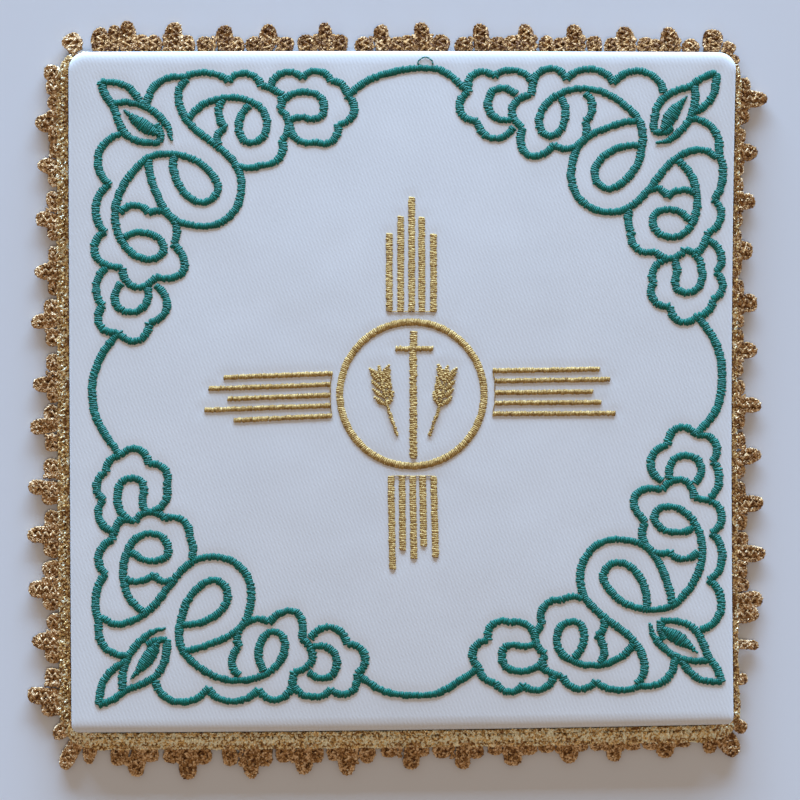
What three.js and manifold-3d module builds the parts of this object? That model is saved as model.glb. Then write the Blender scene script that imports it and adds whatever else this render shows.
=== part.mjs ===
// A chalice pall: a stiffened square of white cloth that lies over a chalice, with one length of
// gold picot lace caught in the seam between its front cover and its back panel.
// Millimetres. The pall lies on its back: +X is to the right of its face, +Y to the top of it,
// +Z up, and the origin is the middle of the underside.

import * as THREE from "three";
import { mergeVertices } from "three/addons/utils/BufferGeometryUtils.js";
import Module from "manifold-3d";

const wasm = await Module();
wasm.setup();

// The sewn square. It isn't quite true: each corner has its own place and radius, counterclockwise
// from the bottom left, and the side that leaves it bows out (or in, below 0) by bow at its middle.
const CORNERS = [
  { corner: "bottom_left", x: -74.6, y: -77.2, radius: 1.6, bow: 0.4 },
  { corner: "bottom_right", x: 74.9, y: -75.3, radius: 1.6, bow: -0.8 },
  { corner: "top_right", x: 75.8, y: 76.7, radius: 4, bow: 0.2 },
  { corner: "top_left", x: -75.7, y: 76.7, radius: 4, bow: 0.1 },
];
const ARC_STEPS = 5;
const SIDE_STEPS = 14;

// Heights of the layers, from the surface that the pall lies on.
const BACK_THICK = 1;
const SEAM_Z = 1.3; // underside of the front cover's filled core
const RIM_Z = 3.05; // underside of the cover's puffed rim, over the lace
const EDGE_Z = 4.55; // where the face flattens out, just inside the rim
const CROWN_Z = 5; // middle of the face

// The front cover's section from the underside's core, out round the rim and in to the crown.
// inset is the distance inside the sewn square, and tight is the least corner radius there.
const COVER_SECTION = [
  { inset: 2.5, z: SEAM_Z, tight: 3.2 },
  { inset: 2.1, z: SEAM_Z + 0.4, tight: 3.2 },
  { inset: 2.1, z: RIM_Z, tight: 3.2 },
  { inset: 0.55, z: RIM_Z, tight: 1 },
  { inset: 0.12, z: RIM_Z + 0.25, tight: 1.2 },
  { inset: 0, z: RIM_Z + 0.65, tight: 1.3 },
  { inset: 0.12, z: RIM_Z + 0.98, tight: 1.2 },
  { inset: 0.5, z: EDGE_Z - 0.24, tight: 1 },
  { inset: 1.2, z: EDGE_Z - 0.07, tight: 0.9 },
  { inset: 2.6, z: EDGE_Z, tight: 0.8 },
  { inset: 9, z: EDGE_Z + 0.12, tight: 0.8 },
  { inset: 22, z: EDGE_Z + 0.3, tight: 0.8 },
  { inset: 42, z: CROWN_Z - 0.05, tight: 0.8 },
];

// The back panel's section: a flat sheet with a turned edge, just inside the square.
const BACK_SECTION = [
  { inset: 1, z: 0, tight: 1 },
  { inset: 0.7, z: 0.25, tight: 1.2 },
  { inset: 0.7, z: BACK_THICK - 0.25, tight: 1.2 },
  { inset: 1, z: BACK_THICK, tight: 1 },
];

// The lace: a heading tape with a row of three-lobed picots. Along each side, header is how far the
// tape stands out of the seam and reach how far a picot stands out of the tape. first, pitch and
// count place the picots' heads along the side, in the order in which the lace meets them.
const LACE_SIDES = [
  { side: "left", header: 4.1, reach: 3.9, first: 71.2, pitch: -11.6, count: 13 },
  { side: "bottom", header: 3.9, reach: 6.4, first: -60.2, pitch: 12, count: 11 },
  { side: "right", header: 1.7, reach: 5.1, first: -57.6, pitch: 11.35, count: 12 },
  { side: "top", header: 0.1, reach: 7, first: 70.7, pitch: -11.19, count: 13 },
];
// The lobes that turn the corners: turn is the way a lobe points, in degrees from +X, and outer is
// how far it stands out of the line that the lace is sewn along.
const CORNER_LOBES = [
  { corner: "top_left", turn: 119, outer: 5.8, halfWidth: 2.1 },
  { corner: "bottom_left", turn: 215, outer: 6.7, halfWidth: 1.9 },
  { corner: "bottom_left", turn: 242, outer: 10.7, halfWidth: 2.1 },
  { corner: "bottom_left", turn: 264, outer: 7.6, halfWidth: 1.8 },
  { corner: "bottom_right", turn: 295, outer: 8.1, halfWidth: 2.1 },
  { corner: "bottom_right", turn: 324, outer: 5.3, halfWidth: 1.9 },
  { corner: "top_right", turn: 41, outer: 2.6, halfWidth: 1.4 },
  { corner: "top_right", turn: 69, outer: 4.7, halfWidth: 1.7 },
];
const LACE_ROOT = -1.5; // the tape's inner edge, inside the seam
const LACE_RADIUS = 5; // the square's corner as the tape goes round it
const TAPE_THICK = 1.1;
const SEAM_LACE_Z = 1.95; // middle of the tape in the seam
const REST_LACE_Z = 0.95; // middle of a picot that lies on the surface
const DROOP_RUN = 4.5; // the lace sinks from one to the other over this width
const HEAD_HALF_WIDTH = 2.1;
const LOBE_HALF_WIDTH = 1.65;
const LOBE_SPACING = 3.9; // a side lobe's middle from the head's
const LOBE_SHARE = 0.52; // a side lobe's reach as a share of the head's
const PICOT_HALF_THICK = 0.85;
const LOBE_TAPER = 0.3; // how much a lobe widens from its root to its head
const LOBE_SIDES = 8;
const PICOT_WOBBLE = 1.1; // how far a picot strays along the side
const PICOT_BEAT = 2.4; // radians of that stray's wave from one picot to the next
const HOLD = 1.2; // a lobe's overlap with the tape
const LOBE_ROOT = 0.2; // where a corner's lobe leaves the sewn line
const TAPE_END_GAP = 0.8; // between the lace's two ends, by the top left corner

const CLOTH_WHITE = 0xe3e8f0;
const BACK_WHITE = 0xdfe3ea;
const LACE_GOLD = 0xa37c42;

const smooth = (t) => {
  const c = Math.min(1, Math.max(0, t));
  return c * c * (3 - 2 * c);
};

// The unit direction of each side, from its own corner to the next.
function sideDirections() {
  return CORNERS.map((from, i) => {
    const to = CORNERS[(i + 1) % CORNERS.length];
    return new THREE.Vector2(to.x - from.x, to.y - from.y).normalize();
  });
}

// Each corner's arc at an inset, between its two sides; tight is the least radius of the arc.
function cornerArcs(inset, tight) {
  const directions = sideDirections();
  return CORNERS.map((c, i) => {
    const before = directions.at(i - 1);
    const after = directions[i];
    const radius = Math.max(c.radius - inset, tight);
    const bend = Math.acos(before.dot(after));
    const back = (inset + radius) / Math.cos(bend / 2);
    const inward = after.clone().sub(before).normalize();
    const centre = new THREE.Vector2(c.x, c.y).addScaledVector(inward, back);
    const start = Math.atan2(-before.x, before.y);
    return { centre, radius, start, bend };
  });
}

// A place on an arc, with its outward direction (nx, ny).
function onArc(arc, angle) {
  const nx = Math.cos(angle);
  const ny = Math.sin(angle);
  return { x: arc.centre.x + arc.radius * nx, y: arc.centre.y + arc.radius * ny, nx, ny };
}

// The sewn square at an inset, counterclockwise from the bottom left. Every inset gives the same
// number of points.
function outline(inset, tight) {
  const arcs = cornerArcs(inset, tight);
  const points = [];
  arcs.forEach((arc, i) => {
    for (let k = 0; k <= ARC_STEPS; k++)
      points.push(onArc(arc, arc.start + (arc.bend * k) / ARC_STEPS));
    const from = points.at(-1);
    const to = onArc(arcs[(i + 1) % arcs.length], arc.start + arc.bend);
    for (let k = 1; k < SIDE_STEPS; k++) {
      const t = k / SIDE_STEPS;
      const bow = CORNERS[i].bow * 4 * t * (1 - t);
      const x = from.x + (to.x - from.x) * t + from.nx * bow;
      const y = from.y + (to.y - from.y) * t + from.ny * bow;
      points.push({ x, y, nx: from.nx, ny: from.ny });
    }
  });
  return points;
}

// A closed surface through rings of equally many [x, y, z] points, with a fan over each end.
function loft(rings, firstCentre, lastCentre) {
  const count = rings[0].length;
  const positions = rings.flat().concat([firstCentre, lastCentre]).flat();
  const indices = [];
  for (let r = 0; r + 1 < rings.length; r++)
    for (let k = 0; k < count; k++) {
      const a = r * count + k;
      const b = r * count + ((k + 1) % count);
      indices.push(a, b, b + count, a, b + count, a + count);
    }
  const first = rings.length * count;
  const lastRing = (rings.length - 1) * count;
  for (let k = 0; k < count; k++) {
    const next = (k + 1) % count;
    indices.push(first, next, k);
    indices.push(first + 1, lastRing + k, lastRing + next);
  }
  const geometry = new THREE.BufferGeometry();
  geometry.setAttribute("position", new THREE.Float32BufferAttribute(positions, 3));
  geometry.setIndex(indices);
  return geometry;
}

// A flat body whose edge follows a section, from the middle of its underside to that of its top.
function squareBody(section, topZ) {
  const rings = section.map((row) =>
    outline(row.inset, row.tight).map((p) => [p.x, p.y, row.z]),
  );
  return loft(rings, [0, 0, section[0].z], [0, 0, topZ]);
}

// The middle of the lace's height at a distance outside the square.
function laceZ(out) {
  return REST_LACE_Z + (SEAM_LACE_Z - REST_LACE_Z) * (1 - smooth(out / DROOP_RUN));
}

// The line that the lace is sewn along, from the top left corner counterclockwise round to it
// again. Each point also has the tape's width there, which changes over on the corners.
function laceLine() {
  const perSide = ARC_STEPS + SIDE_STEPS;
  const points = outline(0, LACE_RADIUS).map((p, i) => {
    const side = Math.floor(i / perSide);
    const turned = smooth((i % perSide) / ARC_STEPS);
    const before = LACE_SIDES[side].header;
    const after = LACE_SIDES[(side + 1) % LACE_SIDES.length].header;
    return { ...p, header: before + (after - before) * turned };
  });
  const topLeft = 3 * perSide;
  return points.slice(topLeft).concat(points.slice(0, topLeft));
}

// The heading tape, as a strip round the whole square with its two ends a little apart.
function tape() {
  const line = laceLine();
  const last = line.at(-1);
  const first = line[0];
  const share = 1 - TAPE_END_GAP / Math.hypot(first.x - last.x, first.y - last.y);
  const x = last.x + (first.x - last.x) * share;
  const y = last.y + (first.y - last.y) * share;
  const half = TAPE_THICK / 2;
  const sections = [...line, { ...last, x, y }].map((p) => {
    const at = (out, up) => [p.x + p.nx * out, p.y + p.ny * out, laceZ(out) + up];
    const middle = (LACE_ROOT + p.header) / 2;
    return [
      at(LACE_ROOT, half),
      at(middle, half),
      at(p.header, half * 0.8),
      at(p.header + 0.4, 0),
      at(p.header, -half * 0.8),
      at(middle, -half),
      at(LACE_ROOT, -half),
    ];
  });
  const centreOf = (section) =>
    [0, 1, 2].map((axis) => section.reduce((sum, v) => sum + v[axis], 0) / section.length);
  return loft(sections, centreOf(sections[0]), centreOf(sections.at(-1)));
}

// One lobe of a picot: a flattened drop between two distances outside the square, on the line that
// leaves the place (x, y) in the direction (nx, ny), shifted sideways by aside.
function lobe(place, inner, outer, halfWidth, aside) {
  const half = (outer - inner) / 2;
  const drop = laceZ(inner) - laceZ(outer);
  const ball = new THREE.SphereGeometry(1, LOBE_SIDES, 3).rotateX(Math.PI / 2);
  ball.deleteAttribute("normal");
  ball.deleteAttribute("uv");
  const points = ball.attributes.position;
  const rim = Math.sin(Math.PI / 3); // the widest of the ball's rings
  for (let i = 0; i < points.count; i++) {
    const x = points.getX(i) / rim;
    points.setX(i, x * half);
    points.setY(i, (points.getY(i) / rim) * halfWidth * (1 + LOBE_TAPER * x));
  }
  ball.scale(1, 1, PICOT_HALF_THICK);
  ball.rotateY(Math.atan2(drop, 2 * half));
  ball.translate((inner + outer) / 2, aside, (laceZ(inner) + laceZ(outer)) / 2);
  ball.rotateZ(Math.atan2(place.ny, place.nx));
  ball.translate(place.x, place.y, 0);
  return ball;
}

// A picot: a head, and a lower lobe on each side of it.
function picot(place, header, reach) {
  const inner = header - HOLD;
  const sideOuter = header + reach * LOBE_SHARE;
  return [
    lobe(place, inner, header + reach, HEAD_HALF_WIDTH, 0),
    lobe(place, inner, sideOuter, LOBE_HALF_WIDTH, -LOBE_SPACING),
    lobe(place, inner, sideOuter, LOBE_HALF_WIDTH, LOBE_SPACING),
  ];
}

// A place on a side of the square: at is its x on the top and bottom sides, and its y on the others.
function onSide(side, at) {
  const from = CORNERS[side];
  const to = CORNERS[(side + 1) % CORNERS.length];
  const direction = sideDirections()[side];
  const axis = Math.abs(direction.x) > Math.abs(direction.y) ? "x" : "y";
  const t = (at - from[axis]) / (to[axis] - from[axis]);
  const bow = from.bow * 4 * t * (1 - t);
  const nx = direction.y;
  const ny = -direction.x;
  const x = from.x + (to.x - from.x) * t + nx * bow;
  const y = from.y + (to.y - from.y) * t + ny * bow;
  return { x, y, nx, ny };
}

// All the picots' lobes, along the four sides and round the corners.
function lobes() {
  const made = [];
  LACE_SIDES.forEach((row, i) => {
    for (let k = 0; k < row.count; k++) {
      const wobble = PICOT_WOBBLE * Math.sin(PICOT_BEAT * k + i);
      const place = onSide((i + 3) % CORNERS.length, row.first + row.pitch * k + wobble);
      made.push(...picot(place, row.header, row.reach));
    }
  });
  const arcs = cornerArcs(0, LACE_RADIUS);
  for (const row of CORNER_LOBES) {
    const arc = arcs[CORNERS.findIndex((c) => c.corner === row.corner)];
    const place = onArc(arc, THREE.MathUtils.degToRad(row.turn));
    made.push(lobe(place, LOBE_ROOT, row.outer, row.halfWidth, 0));
  }
  return made;
}

function toSolid(geometry) {
  const merged = mergeVertices(geometry, 1e-4);
  return new wasm.Manifold(
    new wasm.Mesh({
      numProp: 3,
      vertProperties: new Float32Array(merged.attributes.position.array),
      triVerts: new Uint32Array(merged.index.array),
    }),
  );
}

function toGeometry(solid) {
  const mesh = solid.getMesh();
  const geometry = new THREE.BufferGeometry();
  geometry.setAttribute("position", new THREE.BufferAttribute(mesh.vertProperties, 3));
  geometry.setIndex(new THREE.BufferAttribute(mesh.triVerts, 1));
  return geometry;
}

function addPiece(group, name, geometry, color, roughness, metalness) {
  geometry.computeVertexNormals();
  const material = new THREE.MeshStandardMaterial({ color, roughness, metalness });
  const mesh = new THREE.Mesh(geometry, material);
  mesh.name = name;
  group.add(mesh);
}

const lace = lobes().reduce((sum, ball) => sum.add(toSolid(ball)), toSolid(tape()));

const pall = new THREE.Group();
addPiece(pall, "front_cover", squareBody(COVER_SECTION, CROWN_Z), CLOTH_WHITE, 0.75, 0);
addPiece(pall, "back_panel", squareBody(BACK_SECTION, BACK_THICK), BACK_WHITE, 0.8, 0);
addPiece(pall, "lace_trim", toGeometry(lace), LACE_GOLD, 0.4, 0.8);

export default pall;
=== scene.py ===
# A chalice pall: a stiffened square of white twill, embroidered in green and gold and edged with
# gold picot lace. Lengths are in millimetres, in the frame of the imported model: +X to the right of
# the face, +Y to the top of it, +Z up. They become metres where a mesh, a light or the camera is made.
import math
import random

import bpy
from mathutils import Matrix, Vector, kdtree, noise


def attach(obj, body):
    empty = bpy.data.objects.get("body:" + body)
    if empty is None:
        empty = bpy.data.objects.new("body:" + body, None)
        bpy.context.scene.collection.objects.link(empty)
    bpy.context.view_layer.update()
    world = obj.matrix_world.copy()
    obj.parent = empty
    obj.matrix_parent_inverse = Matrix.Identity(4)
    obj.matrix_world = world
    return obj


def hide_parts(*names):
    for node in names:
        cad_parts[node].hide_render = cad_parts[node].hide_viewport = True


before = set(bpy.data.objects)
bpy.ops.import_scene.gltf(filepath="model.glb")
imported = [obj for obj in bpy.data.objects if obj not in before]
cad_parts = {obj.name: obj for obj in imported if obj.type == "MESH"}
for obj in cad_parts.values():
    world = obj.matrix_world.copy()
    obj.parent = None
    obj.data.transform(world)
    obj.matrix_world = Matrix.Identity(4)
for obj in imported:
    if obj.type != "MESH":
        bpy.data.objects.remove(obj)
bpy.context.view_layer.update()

# The camera hangs over the face and looks almost straight down on it, with the top of the face
# upwards, from far enough that the square stays square.
MM = 0.001
VIEW_AIM = Vector((-0.45, -2.04, 4.5))
VIEW_WIDTH = 181
VIEW_DISTANCE = 1600
VIEW_TILT = math.radians(3)
SENSOR = 36
CLIP_END = 10  # metres


def put(name, data):
    """An object in the scene, made of a camera, a mesh or a light."""
    made = bpy.data.objects.new(name, data)
    bpy.context.scene.collection.objects.link(made)
    return made


camera_data = bpy.data.cameras.new("camera")
camera_data.sensor_width = SENSOR
camera_data.lens = SENSOR * VIEW_DISTANCE / VIEW_WIDTH
camera_data.clip_end = CLIP_END
camera = put("camera", camera_data)
view_way = Vector((0, -math.sin(VIEW_TILT), math.cos(VIEW_TILT)))
camera.location = MM * (VIEW_AIM + VIEW_DISTANCE * view_way)
camera.rotation_euler = (VIEW_TILT, 0, 0)
bpy.context.scene.camera = camera

# The green scrolls: rayon thread in satin stitch, worked by machine through the face cloth before
# it is made up. One corner's motif is two leaves, a ribbon, two roses and two rosettes, and it is
# turned for the other corners. The stitches lie side by side across each line of it.
FACE_HALF = Vector((75.2, 76.5))  # from the middle of the cloth to its sides
EDGE_Z = 4.55
CROWN_RISE = 1.3
SWELL = 0.09  # the slow waves that the stitching leaves in the cloth
SWELL_LENGTH = 26
SWELL_LAYER = 0.5  # where in the noise they are read
CREASE = 0.03  # the small soft creases between them
CREASE_LENGTH = 8
CREASE_LAYER = 3.5

SCROLL_MIDDLE = Vector((1.45, 1.13))
SCROLL_HALF = Vector((77.1, 75.6))
SCROLL_TURNS = (
    {"corner": "top_left", "turn": 0, "scale": 1, "reach": (0, 0), "right": -0.2, "up": 0.1},
    {"corner": "top_right", "turn": -90.5, "scale": 0.975, "reach": (1, 1), "right": 1.3, "up": 3.2},
    {
        "corner": "bottom_right", "turn": 180.75, "scale": 0.965, "reach": (1.1, 1),
        "right": 2, "up": -0.5,
    },
    {
        "corner": "bottom_left", "turn": 91.25, "scale": 0.975, "reach": (2.4, 4),
        "right": -1.3, "up": -1.1,
    },
)
REACH_RUN = 25  # how far in from the corner the leaves' reach fades out
# Lines of the top left motif, as distances to the right of and below the cloth's corner.
SMOOTH_LINES = (
    {"line": "upper leaf", "through": ((7.5, 6.5), (12, 7), (15, 9), (17, 12.2))},
    {
        "line": "leaves' left edge",
        "through": (
            (7.5, 6.5), (8.5, 9.5), (10.5, 12.5), (11.5, 15.5), (12.8, 18), (15, 19.8), (18, 20.5),
            (21, 20.5),
        ),
    },
    {
        "line": "lower leaf and its tail",
        "narrows": True,
        "through": ((10.5, 11.5), (13.5, 11.3), (17, 12), (19, 13), (21, 14.7), (22.8, 17), (23.6, 20)),
    },
    {"line": "lower leaf's tip", "through": ((21, 20.5), (21, 18), (20, 16.3))},
    {"line": "ribbon's turn", "through": ((17.8, 13), (18.3, 10.3), (20, 7.3), (23, 5.7), (27, 5.5))},
    {
        "line": "stem and ribbon",
        "through": (
            (27, 6), (25.3, 8.5), (25.3, 11.5), (26.5, 14.5), (29, 17.5), (33, 20.5), (36.5, 23.5),
            (39, 27), (39.5, 31), (38.5, 35), (35.5, 38.3), (31.5, 39.5), (27, 39), (23.7, 37.5),
            (21.3, 34.5), (19.8, 31), (18.7, 27.5), (18.3, 24.5),
        ),
    },
    {
        "line": "bud and left rose",
        "through": (
            (24.2, 23.2), (24, 26), (25, 29.5), (27, 32.4), (29.8, 34), (32.5, 33.6), (34.1, 31.4),
            (33.6, 29), (31.5, 26.3), (28, 24), (23, 23), (18.6, 23.8), (15, 27), (12.3, 31), (11, 35),
            (11, 39), (12.3, 42.7), (14.7, 45.6), (17.8, 47), (20.8, 46.5), (22, 44.3), (20.5, 42),
            (17.7, 41), (15, 41.1), (13, 42),
        ),
    },
    {
        "line": "right rose",
        "through": (
            (27.5, 14.8), (30.5, 12), (34.3, 10.5), (38, 10.2), (41.2, 11), (44, 12.8), (45.3, 15.8),
            (44.5, 19), (42.2, 20.4), (39.9, 20), (38.8, 17.2), (39.5, 14), (41.2, 12),
        ),
    },
    {
        "line": "upper rosette's heart",
        "through": (
            (48.8, 11), (50.5, 9.6), (53.8, 8.9), (57, 9.8), (58.2, 12.2), (57.5, 14.5), (55.3, 15.2),
            (53, 14.7), (50, 15.4),
        ),
    },
    {
        "line": "lower rosette's heart",
        "through": (
            (12.3, 52.3), (10.8, 55), (11.5, 57.8), (14, 59), (16.8, 58.3), (18.3, 56), (18.3, 53.5),
        ),
    },
)
# Scalloped lines: from each dip, an arc that bulges to its left as far as the third number says.
SCALLOPED_LINES = (
    {"line": "ribbon's edge", "dips": ((26.5, 5.7, 1.6), (36.5, 6.6, 2.4), (44, 7.6, 0.4), (49, 10, 0))},
    {
        "line": "left rose's petals",
        "dips": (
            (12, 36.5, 1.8), (18.5, 36.5, 0.2), (21, 36, 2.2), (24, 43.5, 5), (20, 51, 3.4),
            (12.5, 49, 0), (9.5, 48.5, 3), (8.7, 40.7, 2.8), (9.7, 30, 3.9), (12, 18.5, 0),
        ),
    },
    {"line": "right rose's fold", "dips": ((34.3, 21, 1.1), (36, 17.2, 1.3), (35.2, 10.7, 0))},
    {
        "line": "right rose's petals",
        "dips": ((48.5, 10, 0.3), (48, 13, 2), (48.5, 19.8, 2.3), (44, 25.4, 0.7), (39, 25.7, 0)),
    },
    {
        "line": "upper rosette's petals",
        "dips": (
            (46, 8, 2.4), (53.3, 5.8, 2), (59.7, 6.5, 1.1), (63.4, 9.8, 2.7), (61.3, 16.3, 2.3),
            (56, 20.2, 1.6), (50.5, 17, 0),
        ),
    },
    {
        "line": "lower rosette's petals",
        "dips": ((20, 53, 3.4), (18.6, 61.5, 3.1), (11.7, 63.6, 2.9), (8.2, 57.4, 2), (9, 49, 0)),
    },
)
ARC_ROUND = 0.6  # 0 for an arc that leaves its dips gently, 1 for half an ellipse
LEAF_VEIN = ((12.8, 13.1), (16.2, 15.9), (21, 18.9))
LEAF_TIP = 0.5
LEAF_BELLY = 3.1
LEAF_SKEW = 1.35  # over 1 moves the belly towards the leaf's foot
LEAF_LOFT = 0.3
TAIL = 0.75  # where along its line the lower leaf's tail begins to narrow
TAIL_END = 1.15  # where it would come to a point
# The arcs that join one corner's motif to the next, through their middles on the face.
JOINING_ARCS = (
    {
        "side": "top",
        "through": ((-12.6, 66.8), (-7.6, 70.6), (-0.5, 72.8), (5.2, 73.3), (9.8, 72.4), (15, 68)),
    },
    {
        "side": "left",
        "through": ((-64, 13.3), (-67.2, 9.4), (-69.3, 5), (-70.1, 0), (-69, -6.5), (-63.8, -14.7)),
    },
    {"side": "right", "through": ((67, 17.1), (71.2, 10.4), (72.4, 3.6), (71.3, -3.8), (66.8, -9.7))},
    {
        "side": "bottom",
        "through": ((-10.2, -64), (-4.6, -67.7), (1.8, -68.8), (8.6, -68.1), (17.1, -62.8)),
    },
)
# A loop of thread left proud of the top arc. Its stitches are thinner than the rest.
LOOSE_LOOP = ((4, 73.2), (3.6, 74.8), (5.3, 75.9), (7, 74.8), (6.7, 73.2))
LOOSE_SIZE = 0.6

SCROLL_WIDTH = 1.66
SCROLL_SPREAD = 0.4  # how much wider a line comes out where it runs up the face
STITCH_PITCH = 0.42
STITCH_RAGGED = 0.17  # how far a stitch's end may lie from the line's edge
STITCH_SLANT = 0.5  # the most that its end lies along the line, in pitches
SATIN_LOFT = 0.22  # how high the stitches stand over the cloth
THREAD_HALF_WIDTH = 0.3
THREAD_HALF_HEIGHT = 0.08
THREAD_SIDES = 5
# A stitch from end to end: its share of the way across, its height and its thickness.
STITCH_ARCH = (
    {"share": 0, "rise": -0.6, "full": 0.35},
    {"share": 0.13, "rise": 0.45, "full": 0.9},
    {"share": 0.5, "rise": 1, "full": 1},
    {"share": 0.87, "rise": 0.45, "full": 0.9},
    {"share": 1, "rise": -0.6, "full": 0.35},
)
GREEN_DARK = (0.002, 0.086, 0.062)
GREEN_LIGHT = (0.004, 0.19, 0.134)
FIBRE_SIZE = 0.22
FIBRE_RELIEF = 0.05
FIBRE_WEIGHT = 0.7  # what the fibres count for in a thread's colour
STITCH_WEIGHT = 0.4  # and what each stitch's own shade does
RAYON_RANGE = (0.15, 1)
PLAIN_SHADE = 0.5  # for what needs no shade of its own

rng = random.Random(11)


def face_height(x, y):
    """The height of the cloth's face: a low dome with slow waves and soft creases in it."""
    across = max(0, 1 - (x / FACE_HALF.x) ** 2)
    up = max(0, 1 - (y / FACE_HALF.y) ** 2)
    wave = noise.noise(Vector((x / SWELL_LENGTH, y / SWELL_LENGTH, SWELL_LAYER)))
    crease = noise.noise(Vector((x / CREASE_LENGTH, y / CREASE_LENGTH, CREASE_LAYER)))
    return EDGE_Z + across * up * (CROWN_RISE + SWELL * (wave - 1) + CREASE * (crease - 1))


def smooth_line(points, steps=12):
    """A polyline along the smooth curve through the points."""
    points = [Vector(point) for point in points]
    ends = [2 * points[0] - points[1], *points, 2 * points[-1] - points[-2]]
    made = []
    for before, start, end, after in zip(ends, ends[1:], ends[2:], ends[3:]):
        for k in range(steps):
            t = k / steps
            square = 2 * before - 5 * start + 4 * end - after
            cube = 3 * start - 3 * end + after - before
            made.append(start + 0.5 * (t * (end - before) + t**2 * square + t**3 * cube))
    made.append(points[-1])
    return made


def arc_line(start, end, bulge, steps=14):
    """A polyline along the arc between two points that bulges to the left of the way there."""
    chord = end - start
    left = Vector((chord.y, -chord.x)).normalized()
    made = []
    for k in range(steps + 1):
        turn = math.pi * k / steps
        along = ARC_ROUND * (1 - math.cos(turn)) / 2 + (1 - ARC_ROUND) * k / steps
        made.append(start + along * chord + left * bulge * math.sin(turn))
    return made


def walk(line, step):
    """Places at equal steps along a polyline: the point, the direction there and the share gone."""
    gone = [0]
    for a, b in zip(line, line[1:]):
        gone.append(gone[-1] + (b - a).length)
    count = max(2, round(gone[-1] / step))
    at = 0
    for k in range(count):
        want = gone[-1] * (k + 0.5) / count
        while gone[at + 1] < want:
            at += 1
        share = (want - gone[at]) / (gone[at + 1] - gone[at])
        before = line[max(0, at - 1)]
        after = line[min(len(line) - 1, at + 2)]
        yield line[at].lerp(line[at + 1], share), (after - before).normalized(), want / gone[-1]


class Work:
    """The vertices and faces of a piece, gathered in millimetres, with a shade for each vertex."""

    def __init__(self):
        self.points = []
        self.shades = []
        self.faces = []

    def tube(self, rings, shade):
        """A strand through rings of equally many points, closed over at both ends."""
        count = len(rings[0])
        first = len(self.points)
        last = first + count * (len(rings) - 1)
        for ring in rings:
            self.points.extend(ring)
        self.shades.extend([shade] * (count * len(rings)))
        for at in range(first, last, count):
            for k in range(count):
                n = (k + 1) % count
                self.faces.append((at + k, at + n, at + count + n, at + count + k))
        self.faces.append(tuple(reversed(range(first, first + count))))
        self.faces.append(tuple(range(last, last + count)))

    def piece(self, name, material):
        """The object made of all this, which moves with the pall's one body."""
        mesh = bpy.data.meshes.new(name)
        mesh.from_pydata([MM * Vector(point) for point in self.points], [], self.faces)
        mesh.shade_smooth()
        mesh.attributes.new("shade", "FLOAT", "POINT").data.foreach_set("value", self.shades)
        mesh.materials.append(material)
        made = put(name, mesh)
        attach(made, "root")
        return made


def stitch(work, start, end, loft, shade, size=1):
    """One thread across a satin line, from where it comes out of the cloth to where it goes in."""
    way = (end - start).normalized()
    side = Vector((-way.y, way.x, 0))
    rings = []
    for row in STITCH_ARCH:
        x, y = start.lerp(end, row["share"])
        middle = Vector((x, y, face_height(x, y) + loft * row["rise"]))
        ring = []
        for k in range(THREAD_SIDES):
            turn = math.pi / 2 + 2 * math.pi * k / THREAD_SIDES
            aside = side * math.cos(turn) * THREAD_HALF_WIDTH * row["full"] * size
            up = Vector((0, 0, math.sin(turn) * THREAD_HALF_HEIGHT * row["full"]))
            ring.append(middle + aside + up)
        rings.append(ring)
    work.tube(rings, shade)


stitched_lines = []  # every line of satin on the face, which also draws the cloth down


def satin(work, line, width_at, loft=SATIN_LOFT, ragged=STITCH_RAGGED):
    """Stitches side by side across a line on the face, as wide as width_at(share, way) says."""
    stitched_lines.append(line)
    for place, way, share in walk(line, STITCH_PITCH):
        across = Vector((-way.y, way.x))
        half = width_at(share, way) / 2
        slant = way * STITCH_PITCH * STITCH_SLANT
        start = place + across * (half + rng.uniform(-ragged, ragged)) + slant * rng.random()
        end = place - across * (half + rng.uniform(-ragged, ragged)) - slant * rng.random()
        stitch(work, start, end, loft, rng.random())


def scroll_width(share, way):
    """Lines that run up the face come out wider than those that run across it."""
    return SCROLL_WIDTH + SCROLL_SPREAD * abs(way.y)


def leaf_width(share, way):
    """The filling of a leaf, widest past its middle."""
    return LEAF_TIP + LEAF_BELLY * math.sin(math.pi * share**LEAF_SKEW)


def tail_width(share, way):
    """A line that narrows towards its end."""
    return scroll_width(share, way) * min(1, (TAIL_END - share) / (TAIL_END - TAIL))


def on_face(points, row):
    """Places on the face of chart points, with the motif turned into a row's corner."""
    turn = math.radians(row["turn"])
    shift = SCROLL_MIDDLE + Vector((row["right"], row["up"]))
    made = []
    for right, down in points:
        near = max(0, 1 - (right + down) / 2 / REACH_RUN)
        x = (right - row["reach"][0] * near - SCROLL_HALF.x) * row["scale"]
        y = (SCROLL_HALF.y - down + row["reach"][1] * near) * row["scale"]
        turned_x = x * math.cos(turn) - y * math.sin(turn)
        turned_y = x * math.sin(turn) + y * math.cos(turn)
        made.append(Vector((turned_x, turned_y)) + shift)
    return made


class Wire:
    """An output of a shader node. Maths on it adds the Math node that does it."""

    def __init__(self, finish, socket):
        self.finish = finish
        self.socket = socket

    def maths(self, operation, first, second):
        """The result of a Math node, as a wire that more maths can follow."""
        return self.finish.node("ShaderNodeMath", {"operation": operation}, {0: first, 1: second})

    def __add__(self, other):
        return self.maths("ADD", self, other)

    def __radd__(self, other):
        return self.maths("ADD", other, self)

    def __sub__(self, other):
        return self.maths("SUBTRACT", self, other)

    def __rsub__(self, other):
        return self.maths("SUBTRACT", other, self)

    def __mul__(self, other):
        return self.maths("MULTIPLY", self, other)

    def __rmul__(self, other):
        return self.maths("MULTIPLY", other, self)

    def sine(self):
        """The sine of this, in radians."""
        return self.finish.node("ShaderNodeMath", {"operation": "SINE"}, {0: self})


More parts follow.
